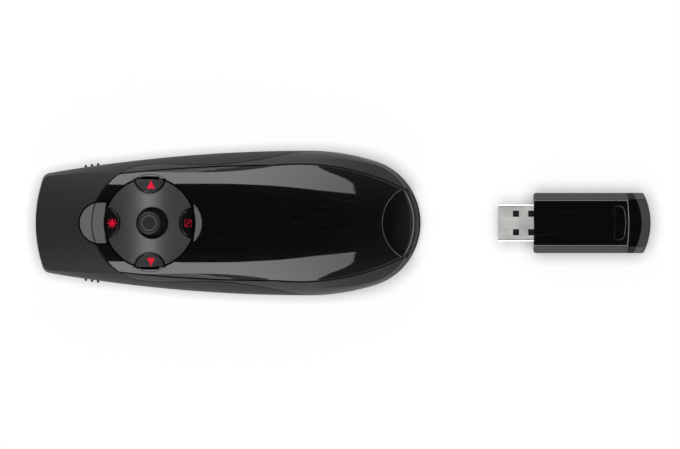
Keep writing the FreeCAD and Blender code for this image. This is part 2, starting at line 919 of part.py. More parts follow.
def radio_chip():
    half = chip_side / 2
    return box(chip_x - half, chip_x + half, -half, half, board_top(), board_top() + chip_height)


def radio_crystal():
    x = chip_x - chip_side
    can = box(x - crystal_long / 2, x + crystal_long / 2, chip_side, chip_side + crystal_wide,
              board_top(), board_top() + crystal_high)
    return can.makeFillet(crystal_corner, [e for e in can.Edges if is_upright(e)])


# Laser in the nose
def nose_bezel():
    x0, x1 = -body_length / 2 - over, nose_inner_x()
    ring = rod_x(bezel_radius, x0, x1, 0, laser_z).cut(rod_x(aperture_radius, x0, x1, 0, laser_z))
    return ring.common(body_form(0))


def laser_lens():
    x1 = nose_inner_x()
    return rod_x(aperture_radius, x1 - lens_thick, x1, 0, laser_z)


def laser_barrel():
    x0 = nose_inner_x()
    tube = rod_x(laser_radius, x0, x0 + laser_length, 0, laser_z)
    return tube.cut(rod_x(aperture_radius, x0, x0 + laser_length, 0, laser_z))


def laser_diode():
    x1 = nose_inner_x() + laser_length
    can = rod_x(diode_can_radius, x1 - diode_length, x1 - diode_base, 0, laser_z)
    base = rod_x(aperture_radius, x1 - diode_base, x1, 0, laser_z)
    return can.fuse(base)


# Two cells side by side, turned opposite ways
def cell(side):
    y, z = side * cell_spacing / 2, cell_axis_z()
    nub_first = side > 0
    x0 = cell_front_x + (cell_nub_length if nub_first else 0)
    can = rod_x(cell_radius, x0, x0 + cell_length, y, z)
    can = can.makeFillet(cell_round, can.Edges)
    nub_x = cell_front_x if nub_first else x0 + cell_length
    return can.fuse(rod_x(cell_nub_radius, nub_x - cell_round / 2, nub_x + cell_nub_length
                          + cell_round / 2, y, z).common(slab(0, crest_height)))


# Thin contact plates on the end walls, and the springs that press the flat ends
def contact_plates():
    x0, x1 = tray_front_x(), tray_rear_x()
    half = cell_radius - cell_gap
    plates = []
    for x, room in ((x0, contact_thick), (x1, -contact_thick)):
        for side in (-1, 1):
            y = side * cell_spacing / 2
            near, far = sorted((x, x + room))
            plates.append(box(near, far, y - half, y + half, cell_axis_z() - half,
                              cell_axis_z() + half))
    return Part.makeCompound(plates)


def contact_springs():
    springs = []
    for side in (-1, 1):
        front = side < 0
        wall = tray_front_x() + contact_thick if front else tray_rear_x() - contact_thick
        flat = cell_front_x - cell_touch if front else cell_rear_x() + cell_touch
        start, end = (wall, flat)
        y, z = side * cell_spacing / 2, cell_axis_z()
        way = 1 if end > start else -1
        cone = Part.makeCone(spring_wide, spring_narrow, abs(end - start), Vector(start, y, z),
                             Vector(way, 0, 0))
        springs.append(cone.cut(rod_x(spring_bore, start - over, start + over, y, z).fuse(
            rod_x(spring_bore, end - over, end + over, y, z))))
    return Part.makeCompound(springs)


# Battery door with three grip ribs on each side
def battery_door():
    door = door_space(0)
    ribs = body_form(-rib_proud).cut(body_form(door_wall / 2))
    rows = None
    for i in range(rib_count):
        x = rib_x + (i - (rib_count - 1) / 2) * rib_pitch
        row = box(x - rib_width / 2, x + rib_width / 2, -body_half, body_half, rib_low, rib_high)
        rows = row if rows is None else rows.fuse(row)
    inside = box(-body_length, body_length, -rib_inner, rib_inner, 0, crest_height)
    return door.fuse(ribs.common(rows.cut(inside)))


# Power switch that the stored receiver works
def plunger_z():
    return receiver_height / 2 + receiver_travel * math.sin(math.radians(bay_rise_angle))


def power_switch():
    x1 = bay_inner_x() - bay_wall
    half, z = power_half, plunger_z()
    body = box(x1 - power_length, x1, plunger_y - half, plunger_y + half, z - half, z + half)
    room = plunger_half + move_gap
    return body.cut(box(x1 - power_length + power_skin, x1, plunger_y - room, plunger_y + room,
                        z - room, z + room))


def power_plunger():
    x1 = receiver_tip_x - receiver_travel - plunger_tip_gap
    x0 = bay_inner_x() - bay_wall - power_length + power_skin + plunger_travel + move_gap
    bar = box(x0, x1, plunger_y - plunger_half, plunger_y + plunger_half,
              plunger_z() - plunger_half, plunger_z() + plunger_half)
    tip = [e for e in bar.Edges if e.BoundBox.XMin > x1 - plunger_round]
    return bar.makeFillet(plunger_round, tip)


def case_screws():
    group = []
    for x, y in screw_places():
        head = rod(screw_head_radius, x, y, screw_seat_z - screw_head_thick, screw_seat_z)
        group.append(head.fuse(rod(screw_radius, x, y, screw_seat_z, screw_tip_z)))
    return Part.makeCompound(group)


# Receiver: places along it, measured from the tip of its plug
def receiver_front_x():
    return receiver_tip_x + receiver_length - receiver_body_length


def receiver_end_x():
    return receiver_tip_x + receiver_length


# Section of the receiver: rounded below, bevelled along the top
def receiver_section(x0, x1, inset):
    half, high = receiver_half - inset, receiver_height - inset
    low = inset
    corner = receiver_round
    bevel = receiver_bevel
    bend = corner * (1 - math.sqrt(0.5))

    def at(y, z):
        return Vector(x0, y, z)

    edges = [line(at(-half + corner, low), at(half - corner, low)),
             arc(at(half - corner, low), at(half - bend, low + bend), at(half, low + corner)),
             line(at(half, low + corner), at(half, high - bevel)),
             line(at(half, high - bevel), at(half - bevel, high)),
             line(at(half - bevel, high), at(-half + bevel, high)),
             line(at(-half + bevel, high), at(-half, high - bevel)),
             line(at(-half, high - bevel), at(-half, low + corner)),
             arc(at(-half, low + corner), at(-half + bend, low + bend), at(-half + corner, low))]
    return prism(edges, Vector(x1 - x0, 0, 0))


# Everything in front of a bowed line across the receiver's end
def before_bow(side_x, middle_x):
    half = receiver_half
    back = receiver_front_x() - over
    edges = [arc(Vector(side_x, -half, -over), Vector(middle_x, 0, -over), Vector(side_x, half, -over)),
             line(Vector(side_x, half, -over), Vector(back, half, -over)),
             line(Vector(back, half, -over), Vector(back, -half, -over)),
             line(Vector(back, -half, -over), Vector(side_x, -half, -over))]
    return prism(edges, Vector(0, 0, receiver_height + over + over))


def lens_bow():
    end = receiver_end_x()
    return before_bow(end - end_cap_side - end_bow, end - end_cap_middle)


def receiver_case():
    x0, x1 = receiver_front_x(), receiver_end_x() - end_cap_side - end_bow - lens_side
    outer = receiver_section(x0, x1, 0)
    upright = [e for e in outer.Edges if e.BoundBox.XMax < x0 + touch and e.BoundBox.ZLength > over]
    outer = outer.makeFillet(receiver_nose_round, upright)
    hollow = receiver_section(x0 + receiver_wall, x1, receiver_wall)
    case = outer.cut(hollow)
    plate = receiver_half - receiver_bevel - plate_gap
    case = case.cut(box(x0 - over, x1 + over, -plate, plate, receiver_height - plate_thick,
                        receiver_height + over))
    return case.cut(plug_block(0))


def receiver_top_plate():
    x0, x1 = receiver_front_x(), receiver_end_x() - end_cap_side - end_bow - lens_side
    half = receiver_half - receiver_bevel - plate_gap
    low, high = receiver_height - plate_thick, receiver_height
    edge, drop = plate_bevel, plate_bevel_drop
    outline = [(-half, low), (half, low), (half, high - drop), (half - edge, high),
               (-half + edge, high), (-half, high - drop)]
    plate = polygon_prism([Vector(x0, y, z) for y, z in outline], Vector(x1 - x0, 0, 0))
    disc_x = x1 - recess_edge - recess_depth_x + recess_radius
    recess = rod(recess_radius, disc_x, 0, receiver_height - recess_drop, receiver_height + over)
    recess = recess.common(box(x0, x1 - recess_edge, -half, half, 0, receiver_height + over))
    return plate.cut(recess)


def receiver_lens():
    x0 = receiver_end_x() - end_cap_side - end_bow - lens_side
    block = receiver_section(x0, receiver_end_x(), 0).common(lens_bow())
    return block.cut(box(x0 - over, x0 + lens_side / 2, -receiver_half + receiver_bevel,
                         receiver_half - receiver_bevel, receiver_wall,
                         receiver_height - plate_thick - receiver_wall / 2))


def receiver_end_cap():
    end = receiver_end_x()
    block = receiver_section(end - end_cap_side - end_bow - over, end, 0)
    block = block.common(before_bow(end - end_bow, end)).cut(lens_bow())
    rear = [e for e in block.Edges if e.BoundBox.XMax > end - touch]
    return block.makeFillet(end_cap_round, rear)


# Plug: metal shell with two latch holes above and below, tongue and contacts
def plug_z():
    return receiver_height / 2


def plug_block(inset):
    x1 = receiver_front_x() + plug_seat
    half, high = plug_half - inset, plug_height / 2 - inset
    block = box(receiver_tip_x, x1, -half, half, plug_z() - high, plug_z() + high)
    round_edges = [e for e in block.Edges if e.BoundBox.XLength > over]
    return block.makeFillet(plug_round - inset / 2, round_edges)


def usb_shell():
    shell = plug_block(0).cut(plug_block(plug_wall))
    hole = latch_hole / 2
    for x in (receiver_tip_x + latch_x, receiver_tip_x + latch_rear_x):
        for y in (-latch_y, latch_y):
            shell = shell.cut(box(x - hole, x + hole, y - hole, y + hole, 0, receiver_height))
    return shell


def tongue_low():
    return plug_z() + plug_height / 2 - plug_wall - tongue_thick


def usb_tongue():
    x1, half = receiver_front_x() + plug_seat, plug_half - plug_wall - plug_wall
    return box(receiver_tip_x + tongue_back, x1, -half, half, tongue_low(), tongue_low() + tongue_thick)


# Contacts on the underside of the tongue
def usb_contacts():
    group = []
    x0 = receiver_tip_x + tongue_back + contact_thin
    for i in range(contact_count):
        y = (i - (contact_count - 1) / 2) * contact_pitch
        group.append(box(x0, receiver_front_x() + plug_seat, y - contact_wide / 2,
                         y + contact_wide / 2, tongue_low() - contact_thin, tongue_low()))
    return Part.makeCompound(group)


# Receiver board, seated on two rails of the case
def receiver_board():
    x0 = receiver_front_x() + plug_seat
    x1 = receiver_end_x() - end_cap_side - end_bow - lens_side
    half = receiver_half - receiver_wall
    return box(x0, x1, -half, half, receiver_board_z, receiver_board_z + receiver_board_thick)


def receiver_board_top():
    return receiver_board_z + receiver_board_thick


def receiver_chip():
    x, half = receiver_front_x() + receiver_chip_x, chip_side / 2
    return box(x - half, x + half, -half, half, receiver_board_top(), receiver_board_top() + chip_height)


def receiver_crystal():
    x = receiver_front_x() + receiver_crystal_x
    can = box(x - crystal_wide / 2, x + crystal_wide / 2, -crystal_long / 2, crystal_long / 2,
              receiver_board_top(), receiver_board_top() + crystal_high)
    return can.makeFillet(crystal_corner, [e for e in can.Edges if is_upright(e)])


def build():
    os.makedirs("parts", exist_ok=True)
    save("lower_case", lower_case())
    save("side_band", made_once("band", side_band))
    save("top_cover", top_cover())
    save("control_dish", control_dish())
    for name, angle in (("blank_button", 0), ("back_button", 270), ("laser_button", 180),
                        ("forward_button", 90)):
        save(name, button(angle))
    save("module_housing", module_housing())
    save("gimbal_ring", gimbal_ring())
    save("joystick_stick", joystick_stick())
    save("joystick_cap", joystick_cap())
    save("main_board", main_board())
    save("dome_switches", dome_switches())
    save("radio_chip", radio_chip())
    save("radio_crystal", radio_crystal())
    save("nose_bezel", nose_bezel())
    save("laser_lens", laser_lens())
    save("laser_barrel", laser_barrel())
    save("laser_diode", laser_diode())
    save("left_cell", cell(1))
    save("right_cell", cell(-1))
    save("contact_plates", contact_plates())
    save("contact_springs", contact_springs())
    save("battery_door", battery_door())
    save("power_switch", power_switch())
    save("power_plunger", power_plunger())
    save("case_screws", case_screws())
    save("receiver_case", receiver_case())
    save("receiver_top_plate", receiver_top_plate())
    save("receiver_lens", receiver_lens())
    save("receiver_end_cap", receiver_end_cap())
    save("usb_shell", usb_shell())
    save("usb_tongue", usb_tongue())
    save("usb_contacts", usb_contacts())
    save("receiver_board", receiver_board())
    save("receiver_chip", receiver_chip())
    save("receiver_crystal", receiver_crystal())


build()
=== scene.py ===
import math
import bpy
import numpy as np
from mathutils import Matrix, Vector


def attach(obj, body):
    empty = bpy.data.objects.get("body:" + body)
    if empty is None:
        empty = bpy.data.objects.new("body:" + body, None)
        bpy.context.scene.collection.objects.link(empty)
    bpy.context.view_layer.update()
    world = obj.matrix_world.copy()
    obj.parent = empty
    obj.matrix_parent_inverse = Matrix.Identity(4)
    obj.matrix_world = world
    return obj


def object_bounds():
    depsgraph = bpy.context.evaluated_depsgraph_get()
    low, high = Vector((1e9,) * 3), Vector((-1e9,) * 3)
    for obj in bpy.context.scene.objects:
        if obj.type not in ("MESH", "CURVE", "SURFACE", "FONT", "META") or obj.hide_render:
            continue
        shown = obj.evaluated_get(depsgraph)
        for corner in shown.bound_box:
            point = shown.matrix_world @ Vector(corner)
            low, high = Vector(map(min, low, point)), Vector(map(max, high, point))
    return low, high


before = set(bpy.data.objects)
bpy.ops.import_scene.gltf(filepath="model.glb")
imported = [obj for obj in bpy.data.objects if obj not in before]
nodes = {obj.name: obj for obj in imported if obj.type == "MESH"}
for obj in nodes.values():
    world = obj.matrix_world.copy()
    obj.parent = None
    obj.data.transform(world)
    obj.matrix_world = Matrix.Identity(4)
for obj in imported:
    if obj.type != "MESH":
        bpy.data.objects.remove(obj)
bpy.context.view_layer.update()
print("frame loaded:", len(nodes), "nodes")

# Camera, floor and lights

studio = {
    "cameraHeight": 3.0,         # metres over the floor, a long lens
    "viewWidth": 0.2203,         # metres that the picture spans at the remote
    "lookAt": (0.03617, -0.00049),
    "floorSize": 3.0,
    "floorWhite": 0.95,
    "floorLift": 0.96,           # share of plain white that the camera sees on the floor
    "paintedShadowReach": 0.005,         # metres from the object within which a soft shadow is painted into the floor's glow
    "paintedShadowPower": 0.8,
    "floorGap": 0.0002,          # metres between the floor and the lowest point of the object
    "sky": [(0.0, 0.55), (0.35, 0.40), (0.70, 0.12), (0.90, 0.03)],  # sine of the height, brightness
    "lowGlow": 2.2,              # glow low down behind the tail
    "lowGlowSide": (0.2, 2.5),   # how far to the tail it begins, and how quickly it grows
    "lowGlowTop": (0.36, 8.0),   # sine of the height that it reaches, and how quickly it ends
    "boxDistance": 0.8,          # metres from the remote to each softbox
}

softboxes = {
    # metres along x between which the first glow gives way to the second
    "fade": (0.08, 0.38),
    # at each place along x (metres) both edges in degrees from straight up; the tail end leans in by skew
    # and has a rounded outer corner; glow at the nose end and at the tail end
    "sideStrip": {"places": (-0.45, 0.08, 0.20, 0.32, 0.45), "inner": (37.0, 37.0, 35.5, 32.5, 30.0),
                  "outer": (88.0, 86.0, 66.0, 50.5, 45.0), "skew": 0.05, "corner": 0.45, "cornerReach": 0.108,
                  "glow": (4.6, 2.9)},
    # a short box that stands across, a little towards the nose
    "crossStrip": {"angles": (-13.0, -4.8), "half": 0.50, "glow": (2.8, 2.8)},
}


class Wire:
    # one shader socket that plain sums can be written with
    def __init__(self, tree, socket=None):
        self.tree, self.socket = tree, socket

    def node(self, kind, settings=None, sockets=None, output=0):
        made = self.tree.nodes.new(kind)
        for name, value in (settings or {}).items():
            if name == "stops":
                ramp = made.color_ramp.elements
                while len(ramp) < len(value):
                    ramp.new(0.5)
                for stop, (place, colour) in zip(ramp, value):
                    stop.position = place
                    stop.color = (colour, colour, colour, 1) if isinstance(colour, float) else (*colour, 1)
            else:
                setattr(made, name, value)
        for name, value in (sockets or {}).items():
            if isinstance(value, Wire):
                self.tree.links.new(value.socket, made.inputs[name])
            else:
                made.inputs[name].default_value = value
        return Wire(self.tree, made.outputs[output])

    def sum(self, operation, first, second=0.0):
        return self.node("ShaderNodeMath", {"operation": operation}, {0: first, 1: second})

    def __add__(self, other):
        return self.sum("ADD", self, other)

    def __sub__(self, other):
        return self.sum("SUBTRACT", self, other)

    def __rsub__(self, other):
        return self.sum("SUBTRACT", other, self)

    def __mul__(self, other):
        return self.sum("MULTIPLY", self, other)

    def __pow__(self, other):
        return self.sum("POWER", self, other)

    def __gt__(self, other):
        return self.sum("GREATER_THAN", self, other)

    def __lt__(self, other):
        return self.sum("LESS_THAN", self, other)

    def size(self):
        return self.sum("ABSOLUTE", self)

    def atLeast(self, low):
        return self.sum("MAXIMUM", self, low)

    def clipped(self):
        return self.node("ShaderNodeClamp", None, {"Value": self})

    __radd__ = __add__
    __rmul__ = __mul__


def greys(wire, share, low, high):
    ends = {0: share, 6: (low, low, low, 1), 7: (high, high, high, 1)}
    return wire.node("ShaderNodeMix", {"data_type": "RGBA"}, ends, output=2)


def addCamera():
    lens = bpy.data.cameras.new("camera")
    lens.sensor_width = 36
    lens.lens = 36 * (studio["cameraHeight"] - 0.01) / studio["viewWidth"]
    lens.clip_end = 20
    camera = bpy.data.objects.new("camera", lens)
    camera.location = (*studio["lookAt"], studio["cameraHeight"])
    bpy.context.scene.collection.objects.link(camera)
    bpy.context.scene.camera = camera
    bpy.context.scene.view_settings.view_transform = "Standard"


def addSheet(name, points, faces, material):
    mesh = bpy.data.meshes.new(name)
    mesh.from_pydata(points, [], faces)
    mesh.materials.append(material)
    sheet = bpy.data.objects.new(name, mesh)
    bpy.context.scene.collection.objects.link(sheet)
    return sheet


def paintWorld():
    # white for the camera; for the rest bright near the horizon and dark overhead
    world = bpy.data.worlds.new("studio")
    world.use_nodes = True
    world.node_tree.nodes.clear()
    wire = Wire(world.node_tree)
    ray = wire.node("ShaderNodeTexCoord", output="Generated")
    height = wire.node("ShaderNodeSeparateXYZ", None, {0: ray}, output=2)
    sky = wire.node("ShaderNodeValToRGB", {"stops": studio["sky"]}, {0: height})
    tailward = wire.node("ShaderNodeSeparateXYZ", None, {0: ray}, output=0)
    aside = ((tailward - studio["lowGlowSide"][0]) * studio["lowGlowSide"][1]).clipped()
    below = ((studio["lowGlowTop"][0] - height) * studio["lowGlowTop"][1]).clipped()
    low = aside * below
    bright = (studio["lowGlow"], studio["lowGlow"], studio["lowGlow"], 1)
    sky = wire.node("ShaderNodeMix", {"data_type": "RGBA"}, {0: low, 6: sky, 7: bright}, output=2)
    seen = wire.node("ShaderNodeLightPath", output="Is Camera Ray")
    colour = wire.node("ShaderNodeMix", {"data_type": "RGBA"}, {0: seen, 6: sky, 7: (1, 1, 1, 1)}, output=2)
    shade = wire.node("ShaderNodeBackground", None, {0: colour, 1: 1.0})
    out = world.node_tree.nodes.new("ShaderNodeOutputWorld")
    world.node_tree.links.new(shade.socket, out.inputs[0])
    bpy.context.scene.world = world


def paintFloor():
    material = bpy.data.materials.new("paleFloor")
    material.use_nodes = True
    material.node_tree.nodes.clear()
    wire = Wire(material.node_tree)
    white = studio["floorWhite"]
    matte = wire.node("ShaderNodeBsdfDiffuse", None, {0: (white, white, white, 1)})
    reach = {"Distance": studio["paintedShadowReach"]}
    # For the camera the floor is a plain glow darkened by ambient occlusion near the object: a painted shadow
    near = wire.node("ShaderNodeAmbientOcclusion", {"samples": 8}, reach, output="AO")
    colour = greys(wire, near ** studio["paintedShadowPower"], 0.0, 1.0)
    plain = wire.node("ShaderNodeEmission", None, {0: colour, 1: 1.0})
    seen = wire.node("ShaderNodeLightPath", output="Is Camera Ray")
    mix = wire.node("ShaderNodeMixShader", None, {0: seen * studio["floorLift"], 1: matte, 2: plain})
    out = material.node_tree.nodes.new("ShaderNodeOutputMaterial")
    material.node_tree.links.new(mix.socket, out.inputs[0])
    half = studio["floorSize"] / 2
    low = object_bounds()[0][2] - studio["floorGap"]
    corners = [(-half, -half, low), (half, -half, low), (half, half, low), (-half, half, low)]
    addSheet("floor", corners, [(0, 1, 2, 3)], material)


def gridFaces(rows, columns):
    # quads between neighbours of a grid of rows x columns points
    corner = (np.arange(rows - 1)[:, None] * columns + np.arange(columns - 1)).ravel()
    return np.stack([corner, corner + columns, corner + columns + 1, corner + 1], axis=1).tolist()


def glowing(name, strength):
    material = bpy.data.materials.new(name)
    material.use_nodes = True
    material.node_tree.nodes.clear()
    wire = Wire(material.node_tree)
    place = wire.node("ShaderNodeTexCoord", output="Object")
    along = wire.node("ShaderNodeSeparateXYZ", None, {0: place}, output=0)
    first, last = softboxes["fade"]
    tailward = ((along - first) * (1 / (last - first))).clipped()
    colour = greys(wire, tailward, 1.0, strength[1] / strength[0])
    glow = wire.node("ShaderNodeEmission", None, {0: colour, 1: strength[0]})
    out = material.node_tree.nodes.new("ShaderNodeOutputMaterial")
    material.node_tree.links.new(glow.socket, out.inputs[0])
    return material


def hideFromCamera(box):
    box.visible_camera = False
    box.visible_shadow = False


def sideStrip(side):
    # Along the strip u runs from nose to tail, across it v runs from inner to outer edge.
    # Each point lies at one distance from the remote, at an angle read from the two edges' tables.
    box, far = softboxes["sideStrip"], studio["boxDistance"]
    rows, columns = 60, 24
    u, v = np.meshgrid(np.linspace(0, 1, rows), np.linspace(0, 1, columns), indexing="ij")
    bend = np.clip((v - 1 + box["corner"]) / box["corner"], 0, 1)
    first, last = box["places"][0], box["places"][-1]
    back = box["skew"] * v + box["cornerReach"] * (1 - np.sqrt(1 - bend ** 2))
    x = first + u * (last - back - first)
    inner, outer = (np.interp(x, box["places"], box[edge]) for edge in ("inner", "outer"))
    angle = np.radians(inner + v * (outer - inner))
    points = np.stack([x, side * far * np.sin(angle), far * np.cos(angle)], axis=-1).reshape(-1, 3)
    glow = glowing("sideGlow", box["glow"])
    hideFromCamera(addSheet("sideStrip%d" % side, points.tolist(), gridFaces(rows, columns), glow))


def crossStrip():
    # A flat strip across the remote: u turns about the y axis, v runs along y
    box, far = softboxes["crossStrip"], studio["boxDistance"]
    count = 8
    turn = np.radians(np.linspace(*box["angles"], count))
    u, v = np.meshgrid(turn, np.linspace(-box["half"], box["half"], count), indexing="ij")
    points = np.stack([far * np.sin(u), v, far * np.cos(u)], axis=-1).reshape(-1, 3)
    glow = glowing("crossGlow", box["glow"])
    hideFromCamera(addSheet("crossStrip", points.tolist(), gridFaces(count, count), glow))


addCamera()
paintWorld()
paintFloor()
for side in (-1, 1):
    sideStrip(side)
crossStrip()
print("camera, floor and lights placed")

# Finishes


wear = {
    # how sharply edges are found, and the size, detail, sharpness and threshold of the worn patches on them
    "edgeGain": 5.0, "patchSize": 420.0, "patchDetail": 4.0, "patchGain": 4.0,
    "plasticKeep": 0.42, "metalKeep": 0.35,
    # size and detail of the broad unevenness
    "broadSize": 60.0, "broadDetail": 5.0, "metalBroadSize": 180.0,
}


def startFinish(name):
    material = bpy.data.materials.new(name)
    material.use_nodes = True
    material.node_tree.nodes.clear()
    return material, Wire(material.node_tree)


def endFinish(material, shade):
    out = material.node_tree.nodes.new("ShaderNodeOutputMaterial")
    material.node_tree.links.new(shade.socket, out.inputs[0])
    return material


def nearEdge(wire, reach):
    # 1 on outside and inside edges, 0 on even ground
    soft = wire.node("ShaderNodeBevel", {"samples": 4}, {"Radius": reach})
    true = wire.node("ShaderNodeNewGeometry", output="Normal")
    same = wire.node("ShaderNodeVectorMath", {"operation": "DOT_PRODUCT"}, {0: soft, 1: true}, output="Value")
    return ((1.0 - same) * wear["edgeGain"]).clipped()


def wornEdge(wire, reach, keep):
    # edges broken up by patches
    patch = grain(wire, wear["patchSize"], wear["patchDetail"])
    return nearEdge(wire, reach) * ((patch - keep) * wear["patchGain"]).clipped()


def grain(wire, scale, detail=3.0):
    place = wire.node("ShaderNodeTexCoord", output="Object")
    return wire.node("ShaderNodeTexNoise", None, {"Vector": place, "Scale": scale, "Detail": detail})


def blendColours(wire, share, low, high, under=None):
    # from low, or from the colours under it, to high
    ends = {0: share, 6: under or (*low, 1), 7: (*high, 1)}
    return wire.node("ShaderNodeMix", {"data_type": "RGBA"}, ends, output=2)


plainGlass, denseGlass = 1.5, 1.9     # how strongly a finish bends light

plastics = {
    # name: colour, worn colour,
    #     roughness, its swing, texture size (1/m), texture height (m), shine, edge reach (m)
    "case_plastic": ((0.0150, 0.0151, 0.0157), (0.048, 0.048, 0.049),
                     0.50, 0.08, 5200.0, 0.000018, 0.14, 0.00035),
    "band_plastic": ((0.0090, 0.0091, 0.0096), (0.042, 0.042, 0.043),
                     0.34, 0.07, 6800.0, 0.000010, 0.30, 0.00035),
    "gloss_plastic": ((0.0018, 0.0018, 0.0019), (0.016, 0.016, 0.017),
                      0.035, 0.03, 900.0, 0.0000010, 0.5, 0.00025),
    "dish_plastic": ((0.0150, 0.0152, 0.0158), (0.045, 0.045, 0.046),
                     0.31, 0.05, 6400.0, 0.000008, 0.76, 0.00025),
    "button_plastic": ((0.0020, 0.0020, 0.0022), (0.018, 0.018, 0.019),
                       0.20, 0.05, 900.0, 0.0000012, 0.5, 0.0002),
    "cap_rubber": ((0.0090, 0.0091, 0.0093), (0.036, 0.036, 0.037),
                   0.50, 0.10, 5600.0, 0.000030, 0.30, 0.0002),
    # module_plastic and nylon are kept near black to stand in for the shade down the stick's well
    "module_plastic": ((0.0030, 0.0030, 0.0032), (0.020, 0.020, 0.021),
                       0.60, 0.08, 6000.0, 0.000010, 0.2, 0.0002),
    "nylon": ((0.0100, 0.0100, 0.0104), (0.030, 0.030, 0.031),
              0.42, 0.08, 5000.0, 0.000010, 0.3, 0.0002),
    "receiver_grey": ((0.0230, 0.0232, 0.0240), (0.055, 0.055, 0.056),
                      0.46, 0.08, 6000.0, 0.000016, 0.32, 0.00025),
    "bezel_black": ((0.0070, 0.0070, 0.0075), (0.030, 0.030, 0.031),
                    0.30, 0.08, 6000.0, 0.000008, 0.5, 0.00025),
    "chip_black": ((0.0160, 0.0160, 0.0165), (0.050, 0.050, 0.052),
                   0.55, 0.10, 7000.0, 0.000012, 0.4, 0.00015),
    "board_green": ((0.0120, 0.0950, 0.0420), (0.030, 0.150, 0.080),
                    0.30, 0.10, 1500.0, 0.000010, 0.6, 0.0002),
    "cell_wrap": ((0.0300, 0.0420, 0.0700), (0.100, 0.110, 0.140),
                  0.28, 0.08, 900.0, 0.000006, 0.6, 0.0003),
}


steepFrom, steepGain = 0.64, 10.0     # upward share of the normal below which a face counts as steep
receiverFrom = 0.085     # metres along x, past the remote's tail and before the receiver
dishCentre = (-0.0252, 0.0)
dishShadeFrom = 0.01428        # from here outwards the dish's edge is painted in shade

zones = {
    # plan shapes in which a finish changes or where painted highlights and painted shade lie, in metres
    "scoop": {"centreX": -0.0412, "half": 0.0068, "rear": -0.033, "above": 0.018, "line": 0.00025},
    "notch": {"from": 0.0475, "half": 0.0112},
    "capRings": {"centreX": -0.0254, "bright": 0.00235, "width": 0.00028, "core": 0.0014},
    "plateRing": {"centreX": 0.1271, "half": (0.0017, 0.0055), "corner": 0.0014, "bow": 0.019, "line": 0.00012,
                  "faint": 0.1},
    "plateEnd": {"tipX": 0.1298, "bow": 0.060, "line": 0.00014, "half": 0.0078},
    "mouthHighlight": {"centreX": 0.0400, "radius": 0.0200, "line": 0.00016, "half": 0.0108, "above": 0.010},
}


def placeOf(wire):
    place = wire.node("ShaderNodeTexCoord", output="Object")
    return [wire.node("ShaderNodeSeparateXYZ", None, {0: place}, output=i) for i in range(3)]


def steepness(wire):
    # 0 where a face looks up, 1 where it turns well away from up
    turned = wire.node("ShaderNodeTexCoord", output="Normal")
    up = wire.node("ShaderNodeSeparateXYZ", None, {0: turned}, output=2)
    return ((steepFrom - up) * steepGain).clipped()


def scoopShape(wire):
    # the thumb scoop in plan is a half disc ahead of a straight run: 1 inside it, and 1 on its outline, where
    # shade is painted
    zone = zones["scoop"]
    x, y, z = placeOf(wire)
    ahead = (zone["centreX"] - x).atLeast(0.0)
    away = (ahead * ahead + y * y) ** 0.5
    here = (z > zone["above"]) * (x < zone["rear"])
    line = ((away - zone["half"]).size() < zone["line"]) * here
    return (away < zone["half"]) * here, line


def notchShare(wire):
    # 1 round the notch at the tail
    zone = zones["notch"]
    x, y, z = placeOf(wire)
    return (x > zone["from"]) * (y * y < zone["half"] ** 2)


def plateHighlights(wire):
    # 1 where highlights are painted: on the bowed D that is pressed into the receiver's plate and on the
    #                                 plate's bowed end
    ring, end = zones["plateRing"], zones["plateEnd"]
    x, y, z = placeOf(wire)
    side = y.size()
    across = x + y * y * (0.5 / ring["bow"]) - ring["centreX"]
    reach = (across.size(), side)
    out = [(far - half + ring["corner"]).atLeast(0.0) for far, half in zip(reach, ring["half"])]
    off = (out[0] * out[0] + out[1] * out[1]) ** 0.5 - ring["corner"]
    # the painted highlight on the D grows towards its tailward side
    facing = ((across * (1 / ring["half"][0]) + 1.0) * 0.5).clipped()
    drawn = (off * off < ring["line"] ** 2) * (facing * facing * (1 - ring["faint"]) + ring["faint"])
    tip = x + y * y * (0.5 / end["bow"]) - end["tipX"]
    return drawn, (tip * tip < end["line"] ** 2) * (side < end["half"])


def capRings(wire):
    # a painted highlight ring near the cap's edge, and a knurled core
    zone = zones["capRings"]
    x, y, z = placeOf(wire)
    along = x - zone["centreX"]
    off = (along * along + y * y) ** 0.5
    ring = off - zone["bright"]
    return (1.0 - ring.size() * (1 / zone["width"])).clipped(), off < zone["core"]


def mouthHighlight(wire):
    # 1 on the thin line where a highlight is painted on the mouth's bevel
    zone = zones["mouthHighlight"]
    x, y, z = placeOf(wire)
    ahead = x - zone["centreX"]
    off = (ahead * ahead + y * y) ** 0.5 - zone["radius"]
    here = (y * y < zone["half"] ** 2) * (z > zone["above"]) * (x > zone["centreX"])
    return (off * off < zone["line"] ** 2) * here


paint = {
    # colours and values of the painted details, and how near to an edge (metres) the painted shade of a gap
    # begins
    "gap": (0.002, 0.002, 0.002),
    "brightLine": (0.16, 0.16, 0.16),
    "notchHighlight": (0.07, 0.07, 0.07),
    "smear": (0.010, 0.010, 0.0104), "smearSize": 900.0, "smearStretch": 0.12,
    "smearKeep": 0.56, "smearGain": 4.0,
    "capRing": (0.10, 0.10, 0.102), "capRingShare": 0.7,
    "capCore": (0.004, 0.004, 0.004), "capCoreShare": 0.55, "knurlSize": 2600.0, "knurlHeight": 0.00008,
    "paintedTailLight": (0.042, 0.042, 0.043), "tailFrom": 0.045, "tailGain": 60.0, "tailShare": 0.3,
    "scoopShine": 0.9, "ringShare": 0.6,
    "scoopGap": 0.0003, "coverGap": 0.0004, "buttonGap": 0.00045, "bandGap": 0.00045, "bandGapGain": 1.3,
}


# A near-black matte shader mixed in by the given share: painted shade in and beside gaps, on steep walls and on
# outlines
def withPaintedShade(wire, shade, share):
    gap = wire.node("ShaderNodeBsdfDiffuse", None, {0: (*paint["gap"], 1)})
    return wire.node("ShaderNodeMixShader", None, {0: share.clipped(), 1: shade, 2: gap})
